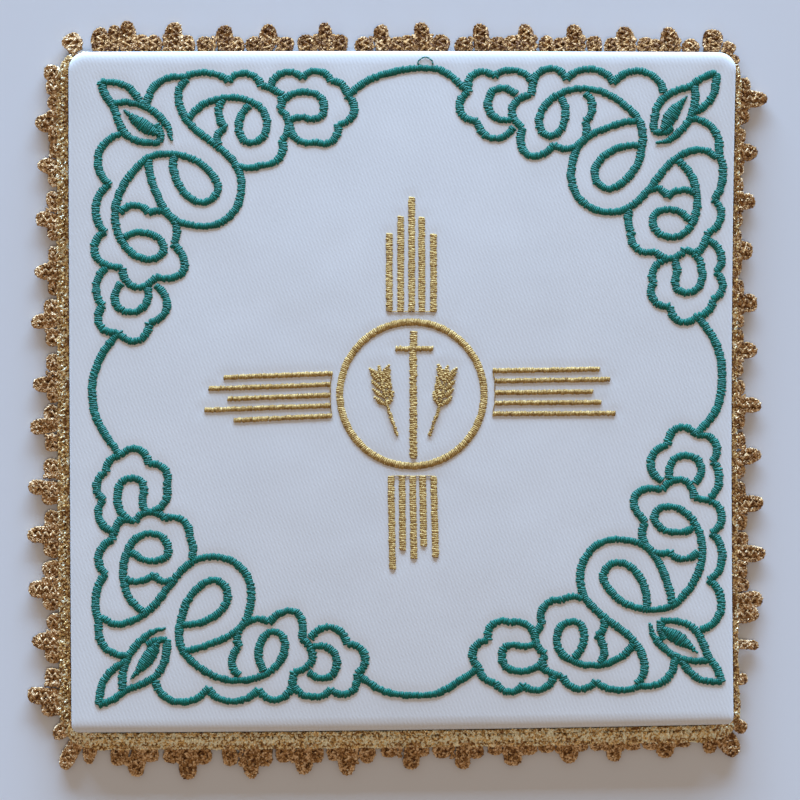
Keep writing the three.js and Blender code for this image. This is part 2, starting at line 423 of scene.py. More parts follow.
class Finish:
    """A material, and the nodes that work out what changes over its surface."""

    def __init__(self, name, **constants):
        self.material = bpy.data.materials.new(name)
        self.material.use_nodes = True
        self.tree = self.material.node_tree
        self.shader = self.tree.nodes["Principled BSDF"]
        for socket, value in constants.items():
            self.shader.inputs[socket.replace("_", " ")].default_value = value

    def node(self, kind, settings, inputs, output=0):
        """Any node: its settings first, then the values or links of its sockets."""
        made = self.tree.nodes.new(kind)
        for name, value in settings.items():
            setattr(made, name, value)
        for socket, value in inputs.items():
            if isinstance(value, Wire):
                self.tree.links.new(value.socket, made.inputs[socket])
            else:
                made.inputs[socket].default_value = value
        return Wire(self, made.outputs[output])

    def place(self):
        """Where on the piece, in metres."""
        return self.node("ShaderNodeTexCoord", {}, {}, "Object")

    def shade(self):
        """The shade that each strand was given."""
        return self.node("ShaderNodeAttribute", {"attribute_name": "shade"}, {}, "Fac")

    def speckle(self, size, detail=2):
        """Soft noise from 0 to 1, with blots of a size in millimetres."""
        inputs = {"Vector": self.place(), "Scale": 1 / (size * MM), "Detail": detail}
        return self.node("ShaderNodeTexNoise", {}, inputs, "Fac")

    def blend(self, share, first, second):
        """A colour between two."""
        inputs = {0: share, 6: self.colour(first), 7: self.colour(second)}
        return self.node("ShaderNodeMix", {"data_type": "RGBA"}, inputs, 2)

    def colour(self, value):
        """A wire as it is, or a plain colour with the fourth number that its socket takes."""
        return value if isinstance(value, Wire) else (*value, 1)

    def vector(self, operation, inputs):
        """Vector Math."""
        return self.node("ShaderNodeVectorMath", {"operation": operation}, inputs)

    def stretch(self, value, low, high):
        """The value spread so that low becomes 0 and high becomes 1, and held there."""
        return self.node("ShaderNodeMapRange", {}, {0: value, 1: low, 2: high})

    def bump(self, height, distance, strength=1):
        """A normal for a relief of that height, from 0 to 1, over a distance in millimetres."""
        inputs = {"Height": height, "Distance": distance * MM, "Strength": strength}
        return self.node("ShaderNodeBump", {}, inputs)

    def feed(self, **wires):
        """Links what varies over the surface to the shader."""
        for socket, wire in wires.items():
            self.tree.links.new(wire.socket, self.shader.inputs[socket.replace("_", " ")])


def rayon(name, dark, light):
    """Rayon thread: smooth and shiny, each stitch a little lighter or darker than the next."""
    finish = Finish(name, Roughness=0.45, Specular_IOR_Level=0.35)
    fibres = finish.speckle(FIBRE_SIZE)
    share = finish.stretch(finish.shade() * STITCH_WEIGHT + fibres * FIBRE_WEIGHT, *RAYON_RANGE)
    colour = finish.blend(share, dark, light)
    finish.feed(Base_Color=colour, Normal=finish.bump(fibres, FIBRE_RELIEF))
    return finish.material


green_thread = rayon("green_thread", GREEN_DARK, GREEN_LIGHT)

for row in SCROLL_TURNS:
    scroll = Work()
    for chart in SMOOTH_LINES:
        line = on_face(smooth_line(chart["through"]), row)
        satin(scroll, line, tail_width if chart.get("narrows") else scroll_width)
    for chart in SCALLOPED_LINES:
        for start, end in zip(chart["dips"], chart["dips"][1:]):
            line = on_face(arc_line(Vector(start[:2]), Vector(end[:2]), start[2]), row)
            satin(scroll, line, scroll_width)
    satin(scroll, on_face(smooth_line(LEAF_VEIN), row), leaf_width, loft=LEAF_LOFT)
    scroll.piece(f"scroll_{row['corner']}", green_thread)

arcs = Work()
for row in JOINING_ARCS:
    satin(arcs, smooth_line(row["through"]), scroll_width)
loop = smooth_line(LOOSE_LOOP, steps=2)
for start, end in zip(loop, loop[1:]):
    stitch(arcs, start, end, SATIN_LOFT, PLAIN_SHADE, LOOSE_SIZE)
arcs.piece("joining_arcs", green_thread)

# The gold work: metallic thread in satin stitch, worked after the green. A ring holds a cross
# between two ears of wheat, and a sheaf of five rays stands on each of its four sides.
RING_MIDDLE = Vector((2.24, -0.75))
RING_RADIUS = 16.3
RING_WIDTH = 1.75
RING_STEPS = 120
RING_RAGGED = 0.08
CROSS = (
    {"part": "arms", "start": (-1.5, 9.5), "end": (7, 9.5), "width": 1.3},
    {"part": "staff", "start": (2.56, 13.4), "end": (2.56, -15.3), "width": 1.75},
)
# The five rays on each side of the ring, each from its end by the ring to its far end.
SHEAVES = (
    {
        "side": "top",
        "rays": (
            ((-2.87, 17.9), (-2.87, 35.7)), ((-0.29, 17.9), (-0.29, 39.5)),
            ((2.19, 17.9), (2.19, 43.9)), ((4.5, 17.9), (4.45, 39.4)), ((7.13, 17.9), (7.13, 35.5)),
        ),
    },
    {
        "side": "bottom",
        "rays": (
            ((-2.5, -19.3), (-2.15, -40.4)), ((0, -19.3), (0.16, -36.2)), ((2.4, -19.3), (2.7, -37.9)),
            ((4.65, -19.3), (4.9, -35.2)), ((7.13, -19.3), (7.6, -37.7)),
        ),
    },
    {
        "side": "left",
        "rays": (
            ((-15.8, 3.9), (-40.3, 3)), ((-16.2, 1.4), (-43.7, 0.45)), ((-16.2, -1), (-39.4, -1.85)),
            ((-16.2, -3.35), (-44.7, -4.4)), ((-15.9, -5.65), (-38, -6.7)),
        ),
    },
    {
        "side": "right",
        "rays": (
            ((20.5, 4.5), (44.7, 4.9)), ((21, 2.2), (47, 2.6)), ((21, -0.45), (43.1, -0.2)),
            ((21, -2.8), (45.1, -2.6)), ((20.5, -5.2), (48.2, -5.1)),
        ),
    },
)
EAR_STEM = ((3.6, -10.2), (5.2, -5.5), (6.4, -1.5), (7.2, 2.6))  # right of the staff, from its foot
EAR_STEM_WIDTH = 0.8
EAR_STEM_LOFT = 0.3
EAR_STEM_STEP = 0.2  # between the places on a stem where grains may grow
EAR_PAIRS = 5
EAR_FOOT = -3.6  # height of the lowest pair of grains on the face
EAR_PITCH = 1.75
GRAIN_GAP = 0.7  # from the stem to a grain's foot
GRAIN_FOOT = 0.35  # how wide a grain starts
GRAIN_LENGTH = 3.1
GRAIN_WIDTH = 1.35
GRAIN_SKEW = 0.8  # under 1 moves a grain's belly towards its foot
GRAIN_SPREAD = 0.62  # how far the grains lean away from the stem, in radians
RAY_WIDTH = 1.2
RAY_SPREAD = 0.42  # how much wider a ray comes out where it runs up the face
RAY_RAGGED = 0.1
GOLD_LOFT = 0.2
TIE_LOFT = 0.1
TIE_SIZE = 0.42
TIE_SHADE = 0.2
GOLD_DARK = (0.315, 0.17, 0.042)
GOLD_MIDDLE = (0.51, 0.315, 0.088)
GOLD_LIGHT = (0.69, 0.475, 0.185)
FACET_WEIGHT = 0.7  # what each facet's own tone counts for in the foil's colour
PATCH_WEIGHT = 0.8  # what the patches of darker and lighter foil do
STRAND_WEIGHT = 0.4  # and what each strand's shade does
PATCH_FACETS = 4  # how many facets a patch is across
FOIL_TONE = 0.35  # how far the foil is from its dark to its light tone on the whole


def lurex(name, tones, fleck, roughness, glitter, metal, contrast=1):
    """Gold foil yarn: facets facing their own ways, with tones whose palest are partly painted glints.
    """
    dark, middle, light = tones
    finish = Finish(name, Metallic=metal, Roughness=roughness)
    inputs = {"Vector": finish.place(), "Scale": 1 / (fleck * MM)}
    cell = finish.node("ShaderNodeTexVoronoi", {}, inputs, "Color")
    tone = finish.node("ShaderNodeSeparateColor", {}, {0: cell})
    patch = finish.speckle(PATCH_FACETS * fleck)
    uneven = tone * FACET_WEIGHT + patch * PATCH_WEIGHT - (FACET_WEIGHT + PATCH_WEIGHT) / 2
    share = uneven * contrast + finish.shade() * STRAND_WEIGHT + FOIL_TONE
    # the light end of the blend is partly the foil's own paler tone and partly painted glint
    darker = finish.blend(finish.stretch(share, 0.1, 0.6), dark, middle)
    colour = finish.blend(finish.stretch(share, 0.6, 1), darker, light)
    facing = finish.vector("SUBTRACT", {0: cell, 1: (0.5, 0.5, 0.5)})
    lean = finish.vector("SCALE", {0: facing, "Scale": glitter})
    normal = finish.node("ShaderNodeNewGeometry", {}, {}, "Normal")
    facet = finish.vector("NORMALIZE", {0: finish.vector("ADD", {0: normal, 1: lean})})
    finish.feed(Base_Color=colour, Normal=facet)
    return finish.material


gold_tones = (GOLD_DARK, GOLD_MIDDLE, GOLD_LIGHT)
gold_thread = lurex("gold_thread", gold_tones, fleck=0.3, roughness=0.65, glitter=0.3, metal=0.3)


def straight(start, end):
    """A line of three points."""
    return [Vector(start), Vector(start).lerp(Vector(end), 0.5), Vector(end)]


def even_width(width):
    """The width of a line that is as wide all the way along."""
    return lambda share, way: width


def ray_width(share, way):
    """Rays that stand up the face come out wider than those that lie across it."""
    return RAY_WIDTH + RAY_SPREAD * abs(way.y)


def grain_width(share, way):
    """A grain of wheat, widest before its middle."""
    return GRAIN_FOOT + (GRAIN_WIDTH - GRAIN_FOOT) * math.sin(math.pi * share**GRAIN_SKEW)


circle = []
for k in range(RING_STEPS + 1):
    turn = 2 * math.pi * k / RING_STEPS
    circle.append(RING_MIDDLE + RING_RADIUS * Vector((math.sin(turn), -math.cos(turn))))
ring_and_cross = Work()
satin(ring_and_cross, circle, even_width(RING_WIDTH), loft=GOLD_LOFT, ragged=RING_RAGGED)
for row in CROSS:
    line = straight(row["start"], row["end"])
    satin(ring_and_cross, line, even_width(row["width"]), loft=GOLD_LOFT)
ring_and_cross.piece("gold_ring_and_cross", gold_thread)

rays = Work()
for sheaf in SHEAVES:
    for start, end in sheaf["rays"]:
        satin(rays, straight(start, end), ray_width, loft=GOLD_LOFT, ragged=RAY_RAGGED)
for sheaf in SHEAVES:  # the threads that go from one ray's foot to the next
    feet = [Vector(start) for start, end in sheaf["rays"]]
    for foot, beside in zip(feet, feet[1:]):
        stitch(rays, foot, beside, TIE_LOFT, TIE_SHADE, TIE_SIZE)
rays.piece("gold_rays", gold_thread)

ears = Work()
staff_x = CROSS[1]["start"][0]
for mirror in (1, -1):
    stem = smooth_line([(staff_x + mirror * x, y) for x, y in EAR_STEM])
    satin(ears, stem, even_width(EAR_STEM_WIDTH), loft=EAR_STEM_LOFT)
    for k in range(EAR_PAIRS):
        height = EAR_FOOT + EAR_PITCH * k
        below = [spot for spot in walk(stem, EAR_STEM_STEP) if spot[0].y <= height]
        place, way, share = below[-1]
        for lean in (-1, 1):
            grain_way = way.copy()
            grain_way.rotate(Matrix.Rotation(lean * GRAIN_SPREAD, 2))
            foot = place + grain_way * GRAIN_GAP
            grain = straight(foot, foot + grain_way * GRAIN_LENGTH)
            satin(ears, grain, grain_width, loft=GOLD_LOFT)
    tip = straight(stem[-1], stem[-1] + way * GRAIN_LENGTH)
    satin(ears, tip, grain_width, loft=GOLD_LOFT)
ears.piece("wheat_ears", gold_thread)

# The face cloth: fine white twill drawn over a stiff card, so that its edges are rounded and its
# sides are folded down to the seam. It is modelled with its card as one filled, closed body.
CORNERS = (
    {"corner": "bottom_left", "x": -74.6, "y": -77.2, "radius": 1.6, "bow": 0.4},
    {"corner": "bottom_right", "x": 74.9, "y": -75.3, "radius": 1.6, "bow": -0.8},
    {"corner": "top_right", "x": 75.8, "y": 77, "radius": 4, "bow": 0.2},
    {"corner": "top_left", "x": -75.7, "y": 77.1, "radius": 4, "bow": 0.1},
)
CLOTH_STEPS = 170  # squares of the cloth's mesh along each side
RIM_INSET = 2.6  # where the face flattens out
RIM_TIGHT = 1  # the least radius of a corner there
# The fold round the rim and the hidden underside: how far inside the square, how high, and the
# least radius of a corner there.
RIM_SECTION = (
    {"inset": 1.7, "z": 4.53, "tight": 1.2},
    {"inset": 1.05, "z": 4.45, "tight": 1.2},
    {"inset": 0.55, "z": 4.3, "tight": 1.2},
    {"inset": 0.2, "z": 4.06, "tight": 1.2},
    {"inset": 0, "z": 3.72, "tight": 1.3},
    {"inset": 0.1, "z": 3.36, "tight": 1.2},
    {"inset": 0.45, "z": 3.12, "tight": 1.1},
    {"inset": 1.2, "z": 3.05, "tight": 1.2},
    {"inset": 2.1, "z": 3.05, "tight": 2},
    {"inset": 2.2, "z": 1.7, "tight": 2.4},
    {"inset": 2.5, "z": 1.3, "tight": 2.6},
)
STITCH_PULL = 0.07  # how deep the stitches draw the cloth down
PULL_REACH = 1.5
PULL_STEP = 0.5  # between the places on a stitched line that are looked for
CLOTH_LIGHT = (0.845, 0.84, 0.825)
CLOTH_DARK = (0.7, 0.695, 0.68)
WALE_RATE = 7400  # radians a metre
WALE_SLOPE = 0.36
DASH_RATE = 4100  # of the dashes that the threads make along a wale
DASH_SLOPE = 0.3
DASH_DEPTH = 0.35
THREAD_LUMPS = 1.3  # the size of the uneven places in the threads
WALE_DRIFT = 3  # how far those push the wales about, in radians
DASH_DRIFT = 5
COTTON_FIBRES = 0.5
COTTON_CLOUDS = 12
WEAVE_TONE = 0.35  # what the weave counts for in the cloth's colour
BLOT_TONE = 0.6  # and what the fibres and the clouds each do
TWILL_RANGE = (0.2, 1.4)
WEAVE_RELIEF = 0.04
WEAVE_STRENGTH = 0.35


def side_way(i):
    """The unit direction of the side that leaves corner i."""
    start = CORNERS[i % 4]
    end = CORNERS[(i + 1) % 4]
    return Vector((end["x"] - start["x"], end["y"] - start["y"])).normalized()


def half_bend(i):
    """Half the angle that the way round the square turns by at corner i."""
    return side_way(i - 1).angle(side_way(i)) / 2


def corner_place(i, inset):
    """Where the two sides of corner i meet when both are moved inwards by the inset."""
    corner = Vector((CORNERS[i % 4]["x"], CORNERS[i % 4]["y"]))
    inward = (side_way(i) - side_way(i - 1)).normalized()
    return corner + inward * inset / math.cos(half_bend(i))


def square_line(inset, tight, steps):
    """Points counterclockwise round the square at an inset, each with its outward way."""
    made = []
    for i, row in enumerate(CORNERS):
        start = corner_place(i, inset)
        end = corner_place(i + 1, inset)
        way = side_way(i)
        outward = Vector((way.y, -way.x))
        for k in range(steps):
            t = k / steps
            place = start.lerp(end, t) + outward * row["bow"] * 4 * t * (1 - t)
            for corner in (i, i + 1):
                radius = max(CORNERS[corner % 4]["radius"] - inset, tight)
                rounded = radius * math.tan(half_bend(corner))
                if (place - corner_place(corner, inset)).length < rounded:
                    middle = corner_place(corner, inset + radius)
                    outward = (place - middle).normalized()
                    place = middle + outward * radius
            made.append((place, outward))
    return made


edge = [place for place, outward in square_line(RIM_INSET, RIM_TIGHT, CLOTH_STEPS)]
bottom_edge = edge[:CLOTH_STEPS + 1]
right_edge = edge[CLOTH_STEPS:2 * CLOTH_STEPS + 1]
top_edge = edge[2 * CLOTH_STEPS:3 * CLOTH_STEPS + 1][::-1]
left_edge = (edge[3 * CLOTH_STEPS:] + edge[:1])[::-1]

stitched_places = []
for line in stitched_lines:
    stitched_places += [place for place, way, share in walk(line, PULL_STEP)]
stitches = kdtree.KDTree(len(stitched_places))
for i, place in enumerate(stitched_places):
    stitches.insert((place.x, place.y, 0), i)
stitches.balance()

# The face's mesh fills the square between its four edges, whose bows fade out towards its middle.
cloth = Work()
for j in range(CLOTH_STEPS + 1):
    v = j / CLOTH_STEPS
    for i in range(CLOTH_STEPS + 1):
        u = i / CLOTH_STEPS
        along = bottom_edge[i].lerp(top_edge[i], v)
        across = left_edge[j].lerp(right_edge[j], u)
        flat = bottom_edge[0].lerp(bottom_edge[-1], u).lerp(top_edge[0].lerp(top_edge[-1], u), v)
        place = along + across - flat
        distance = stitches.find((place.x, place.y, 0))[2]
        pull = STITCH_PULL * math.exp(-((distance / PULL_REACH) ** 2))
        cloth.points.append((place.x, place.y, face_height(place.x, place.y) - pull))
row_length = CLOTH_STEPS + 1
for j in range(CLOTH_STEPS):
    for i in range(CLOTH_STEPS):
        at = j * row_length + i
        cloth.faces.append((at, at + 1, at + row_length + 1, at + row_length))
upper = list(range(CLOTH_STEPS))
upper += [j * row_length + CLOTH_STEPS for j in range(CLOTH_STEPS)]
upper += [CLOTH_STEPS * row_length + i for i in range(CLOTH_STEPS, 0, -1)]
upper += [j * row_length for j in range(CLOTH_STEPS, 0, -1)]
for row in RIM_SECTION:
    first = len(cloth.points)
    for place, outward in square_line(row["inset"], row["tight"], CLOTH_STEPS):
        cloth.points.append((place.x, place.y, row["z"]))
    lower = list(range(first, len(cloth.points)))
    for k in range(len(upper)):
        n = (k + 1) % len(upper)
        cloth.faces.append((upper[k], lower[k], lower[n], upper[n]))
    upper = lower
cloth.faces.append(tuple(reversed(upper)))
cloth.shades = [PLAIN_SHADE] * len(cloth.points)


def twill(name, light, dark):
    """Fine white twill: steep wales of matt cotton, with faint uneven threads."""
    finish = Finish(name, Roughness=0.85, Specular_IOR_Level=0.3, Sheen_Weight=0.2, Sheen_Roughness=0.5)
    x = finish.node("ShaderNodeSeparateXYZ", {}, {0: finish.place()}, "X")
    y = finish.node("ShaderNodeSeparateXYZ", {}, {0: finish.place()}, "Y")
    uneven = finish.speckle(THREAD_LUMPS)
    wale = ((x + y * WALE_SLOPE) * WALE_RATE + uneven * WALE_DRIFT).sine()
    dash = ((y - x * DASH_SLOPE) * DASH_RATE + uneven * DASH_DRIFT).sine()
    weave = wale * (dash * DASH_DEPTH + (1 - DASH_DEPTH)) * 0.5 + 0.5
    blots = finish.speckle(COTTON_FIBRES) * BLOT_TONE + finish.speckle(COTTON_CLOUDS) * BLOT_TONE
    shade = finish.stretch(weave * WEAVE_TONE + blots, *TWILL_RANGE)
    normal = finish.bump(weave, WEAVE_RELIEF, WEAVE_STRENGTH)
    finish.feed(Base_Color=finish.blend(shade, dark, light), Normal=normal)
    return finish.material


white_twill = twill("white_twill", CLOTH_LIGHT, CLOTH_DARK)
face_cloth = cloth.piece("face_cloth", white_twill)
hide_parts("front_cover")

# The back panel: the same twill, plain, cut a little smaller, with its edge turned in. It closes
# the underside and is slip stitched to the lace's tape and the cover all the way round.
BACK_STEPS = 40
BACK_SECTION = (
    {"inset": 1.6, "z": 0.02},
    {"inset": 1, "z": 0.12},
    {"inset": 0.72, "z": 0.4},
    {"inset": 0.72, "z": 0.85},
    {"inset": 1, "z": 1.15},
    {"inset": 2, "z": 1.25},
)
BACK_TIGHT = 1.4
BACK_LIGHT = (0.8, 0.8, 0.82)
BACK_DARK = (0.7, 0.71, 0.74)
SLIP_INSET = 0.78
SLIP_PITCH = 4  # from one slip stitch to the next
SLIP_LENGTH = 1.3
SLIP_RADIUS = 0.15
# A slip stitch from end to end: how far along, in half lengths, how high, and how far out.
SLIP_PATH = (
    {"along": -0.9, "z": 0.75, "out": -0.1},
    {"along": -0.3, "z": 1, "out": 0.14},
    {"along": 0.3, "z": 1.3, "out": 0.12},
    {"along": 0.9, "z": 1.5, "out": -0.2},
)
STRAND_UNEVEN = 0.12  # how much thicker or thinner than the rest a strand may be in one place
WHITE_DARK = (0.7, 0.7, 0.72)
WHITE_LIGHT = (0.8, 0.8, 0.82)

back = Work()
rings = []
for row in BACK_SECTION:
    line = square_line(row["inset"], BACK_TIGHT, BACK_STEPS)
    rings.append([(place.x, place.y, row["z"]) for place, outward in line])
back.tube(rings, PLAIN_SHADE)
back_twill = twill("back_twill", BACK_LIGHT, BACK_DARK)
back_panel = back.piece("back_panel_cloth", back_twill)
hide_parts("back_panel")


def cord(work, points, radius, shade, flat=1):
    """A strand through the points, a little uneven: round, or flattened to a share of its width."""
    rings = []
    for before, place, after in zip(points[:1] + points, points, points[1:] + points[-1:]):
        way = (after - before).normalized()
        side = Vector((0, 0, 1)).cross(way).normalized()
        up = way.cross(side)
        size = radius * rng.uniform(1 - STRAND_UNEVEN, 1 + STRAND_UNEVEN)
        ring = []
        for k in range(THREAD_SIDES):
            turn = math.tau * k / THREAD_SIDES
            ring.append(place + size * (side * math.cos(turn) + up * flat * math.sin(turn)))
        rings.append(ring)
    work.tube(rings, shade)


slip = Work()
around = []
for place, outward in square_line(SLIP_INSET, BACK_TIGHT, BACK_STEPS):
    around.append(Vector((place.x, place.y, 0)))
around.append(around[0])
for place, way, share in walk(around, SLIP_PITCH):
    outward = Vector((way.y, -way.x, 0))
    half = way * SLIP_LENGTH / 2
    path = []
    for row in SLIP_PATH:
        path.append(place + half * row["along"] + Vector((0, 0, row["z"])) + outward * row["out"])
    cord(slip, path, SLIP_RADIUS, PLAIN_SHADE)
white_thread = rayon("white_thread", WHITE_DARK, WHITE_LIGHT)
slip_stitches = slip.piece("slip_stitches", white_thread)

# The lace: one length of gold lurex yarn, crocheted into a narrow tape with a row of three-lobed
# picots. The tape is caught in the seam between the cover and the back panel, and the picots sink
# from there to the surface that the pall lies on. Handling has pulled them all a little awry.
SEAM_LACE_Z = 1.95
REST_LACE_Z = 1.05
DROOP_RUN = 4.5  # how far out the lace comes down to rest
LACE_RADIUS = 5  # the square's corner as the tape goes round it
LACE_STEPS = 300
SIDE_LENGTH = 150
CORNER_RUN = 6  # how long the tape takes to come to its next width at a corner

# Each side's header is the width of its tape. A picot's two side lobes stand out to a share of what
# its head does, at a spacing from it. The tones are added to the strands' shades. They are painted
# light and shade: each side's picots, tape and seam row are made lighter or darker for how the light
# falls there, lightest on the bottom, the top's picots darkest against the window, and the seam rows
# darker beside the cover's edge where it shades them, most on the right.
# Picots: how far along the side, how far the head stands out, and how far its lobes are aslant.
# Lone lobes: how far along the side, how far out, and half their width.
LACE_SIDES = (
    {
        "side": "bottom", "header": 3.9, "lobe_share": 0.71, "spacing": 3.7,
        "tone": 0.95, "tape_painted_shading": 1, "seam_painted_shading": 1,
        "picots": (
            (-60.3, 10.2, -0.3), (-48.4, 10.8, -0.3), (-34.1, 10.8, -1.1), (-22.4, 9.9, -1),
            (-12.6, 10.2, 0.7), (1.8, 9, -1.1), (13.6, 9.1, -0.9), (25.3, 8.5, -0.6),
            (37.8, 8.2, -1.5), (47.8, 8, 0.3), (59.6, 7.4, 0),
        ),
        "lone_lobes": (),
    },
    {
        "side": "right", "header": 1.4, "lobe_share": 0.48, "spacing": 3.6,
        "tone": 0.55, "tape_painted_shading": 0.1, "seam_painted_shading": -0.6,
        "picots": (
            (-36.6, 8, -0.8), (-25, 7.6, -1), (-14.2, 7.1, -0.3), (-3.2, 7.1, 0.3), (9.4, 6.1, -0.6),
            (20.1, 6, 0), (31.9, 4.9, -0.3), (43.3, 5.3, -0.2), (54.3, 5.7, 0), (66.7, 7.7, -0.4),
        ),
        "lone_lobes": (
            (-70.4, 1.9, 1.3), (-65, 3.6, 1.6), (-57.6, 6.2, 1.3), (-50.2, 6.3, 1.9), (-47, 7.2, 2.2),
            (-44, 4.2, 1.6),
        ),
    },
    {
        "side": "top", "header": 0.1, "lobe_share": 0.58, "spacing": 3.8,
        "tone": 0.1, "tape_painted_shading": -0.1, "seam_painted_shading": -0.1,
        "picots": (
            (-51.5, 7.1, -0.9), (-40.3, 6.4, -1), (-30.1, 6.6, 0.2), (-17.6, 7, -0.2),
            (-4.7, 6.5, -0.5), (4.2, 7, 1), (17.5, 6.7, 0.2), (27.8, 6.7, 1), (38.9, 6.6, 0.9),
            (50.4, 6.2, 0.9), (60.4, 6.1, 1.2),
        ),
        "lone_lobes": ((-68.4, 6, 2.1), (-65.3, 6.5, 1.9), (-62.5, 7.5, 2.2), (-59.3, 4.3, 1.9)),
    },
    {
        "side": "left", "header": 2.8, "lobe_share": 0.65, "spacing": 3.6,
        "tone": 0.85, "tape_painted_shading": 0.3, "seam_painted_shading": -0.2,
        "picots": (
            (61.2, 7.9, 1), (51.7, 7.4, 0.4), (39.4, 7.8, 0.3), (27.2, 8.1, 0.4), (15.6, 8.9, 0.2),
            (1.7, 8.6, 1.4), (-8.2, 9.2, -0.1), (-21.4, 9.7, 0.9), (-32.5, 10, 0.4), (-44.6, 9.8, 0.6),
            (-56.5, 9.1, 0.5), (-68.4, 10.2, 0.6),
        ),
        "lone_lobes": ((69.3, 5.4, 1.9), (72.7, 5.9, 2.1)),
    },
)
# Lobes round a corner: the way out in degrees, and from where to where they reach.
CORNER_LOBES = (
    {"corner": 3, "turn": 119, "inner": 1.2, "outer": 5.8, "half_width": 2.3},
    {"corner": 0, "turn": 215, "inner": 0, "outer": 6.1, "half_width": 1.9},
    {"corner": 0, "turn": 242, "inner": 0, "outer": 10.2, "half_width": 2.1},
    {"corner": 0, "turn": 264, "inner": 0, "outer": 7.4, "half_width": 1.7},
    {"corner": 1, "turn": 268, "inner": 0, "outer": 6.7, "half_width": 1.7},
    {"corner": 1, "turn": 295, "inner": 0, "outer": 8.4, "half_width": 2.2},
    {"corner": 1, "turn": 322, "inner": 0, "outer": 5.3, "half_width": 1.8},
    {"corner": 2, "turn": 37, "inner": 0, "outer": 2.2, "half_width": 1.3},
    {"corner": 2, "turn": 62, "inner": 0, "outer": 3.7, "half_width": 1.7},
    {"corner": 2, "turn": 90, "inner": 0, "outer": 5.6, "half_width": 2.5},
)
SEAM_GAP = 0.6  # how far the tape's first row lies outside the fold of the cover
TAPE_LIFT = 0.16  # how far the tape lies over the picots' feet
TAPE_RISE = 0.1
# The chains along the tape's two edges: how far inside its outer edge they keep, how far they waver
# to and fro, and by how many radians a step they waver and rise.
SEAM_ROW = {"margin": 0.7, "waver": 0.08, "out_beat": 0.9, "up_beat": 0.7}
OUTER_ROW = {"margin": 0.45, "waver": 0.12, "out_beat": 0.6, "up_beat": 0.8}
OUTER_ROOM = 1  # the least width of tape that has a chain along its outer edge
POST_ROOM = 2  # and that has posts to and fro between the two
POST_START = 1.1
POST_MARGIN = 0.8
POST_UNEVEN = 0.25
POST_ASIDE = 0.15
POST_TONE = 0.2
GROUND_STEP = 3  # steps of the tape to one ring of the yarn under its posts, painted dark as shade
GROUND_DROP = 0.3
GROUND_PAINTED_SHADE = -0.3
GROUND_FLAT = 0.25

HOLD = 1.2  # how far the picots' feet reach into the tape
HEAD_HALF_WIDTH = 2.15
HEAD_SIZES = (0.85, 1)
LOBE_HALF_WIDTH = 2
LOBE_SIZES = (0.92, 1.1)
LOBE_REACHES = (0.93, 1.07)
LOBE_LEAN = 0.14  # how far a lobe may lean over, in radians
LOBE_STEPS = 24
LOBE_OPEN = 0.95  # how much of the way round its loop goes
LOBE_FULL = 0.75  # under 1 for a loop that is fuller than an oval
LOBE_TAPER = 0.1
LOBE_WAVER = 0.15
LOBE_RISE = 0.12
LEAST_SWAY = 0.1
TIP_GAP = 1.7  # from a lobe's tip to the strand inside it, in halves of a chain
PICOT_TONES = (-0.3, 0)
SPUR_STEP = 0.8
SPUR_SWAY = 0.3
SPUR_LIFT = 0.16
# The yarn that fills a lobe is painted dark, as the shade inside its loop.
FILL_DROP = 0.4
FILL_GAP = 0.45
FILL_PAINTED_SHADE = 0.1
FILL_FLAT = 0.3

CHAIN_STEP = 0.34
CHAIN_LENGTH = 1.9  # from where a strand lies on one side to where it lies there again
CHAIN_SPREAD = 0.36
CHAIN_UNEVEN = 0.25
CHAIN_RISE = 0.2
CHAIN_JOLT = 0.08
CHAIN_HALF = 0.6
STRANDS = 3
STRAND_RADIUS = 0.27
STRAND_TONE = 0.2
CORE_RADIUS = 0.45
CORE_STEP = 3  # steps of the strands to one of the core
CORE_DROP = 0.12
LACE_DARK = (0.15, 0.056, 0.013)
LACE_MIDDLE = (0.56, 0.3, 0.097)
LACE_LIGHT = (0.98, 0.73, 0.44)
# The tape's tones are a paler copy of the lace's, with more contrast in its finish. They are painted
# glints: the pale flecks stand in for light that the foil catches.
TAPE_DARK = (0.24, 0.1, 0.02)
TAPE_MIDDLE = (0.92, 0.6, 0.21)
TAPE_LIGHT = (1, 0.95, 0.68)


def lace_z(out):
    """The height of the lace's middle at a distance outside the square."""
    t = min(1, max(0, out / DROOP_RUN))
    return REST_LACE_Z + (SEAM_LACE_Z - REST_LACE_Z) * (1 - t * t * (3 - 2 * t))


def chain(work, path, shade):
    """Crochet along a path: three strands that cross over each other round a core in painted shade."""
    places = list(walk(path, CHAIN_STEP))
    for strand in range(STRANDS):
        points = []
        for k, (place, way, share) in enumerate(places):
            turn = math.tau * (k * CHAIN_STEP / CHAIN_LENGTH + strand / STRANDS)
            spread = CHAIN_SPREAD * math.sin(turn) * rng.uniform(1 - CHAIN_UNEVEN, 1 + CHAIN_UNEVEN)
            rise = CHAIN_RISE * math.sin(2 * turn) + rng.uniform(-CHAIN_JOLT, CHAIN_JOLT)
            points.append(place + Vector((-way.y, way.x, 0)) * spread + Vector((0, 0, rise)))
        cord(work, points, STRAND_RADIUS, shade + rng.uniform(-STRAND_TONE, STRAND_TONE))
    step = min(CORE_STEP, len(places) - 1)
    core = [place - Vector((0, 0, CORE_DROP)) for place, way, share in places[::step]]
    # the core's low shade is painted shade, which darkens the gaps between the strands
    cord(work, core, CORE_RADIUS, 0)


def out_from(spot, out, across=0, lift=0):
    """A point of the lace: so far out from a spot on the square, across from there and up."""
    place, outward = spot
    flat = place + outward * out + Vector((-outward.y, outward.x)) * across
    return Vector((flat.x, flat.y, lace_z(out) + lift))


def spur(work, spot, inner, outer, sway, shade):
    """A strand of chain that goes to and fro on its way out."""
    count = max(3, round((outer - inner) / SPUR_STEP))
    strand = []
    for k in range(count + 1):
        out = inner + (outer - inner) * k / count
        strand.append(out_from(spot, out, sway * (-1) ** k, SPUR_LIFT))
    chain(work, strand, shade)


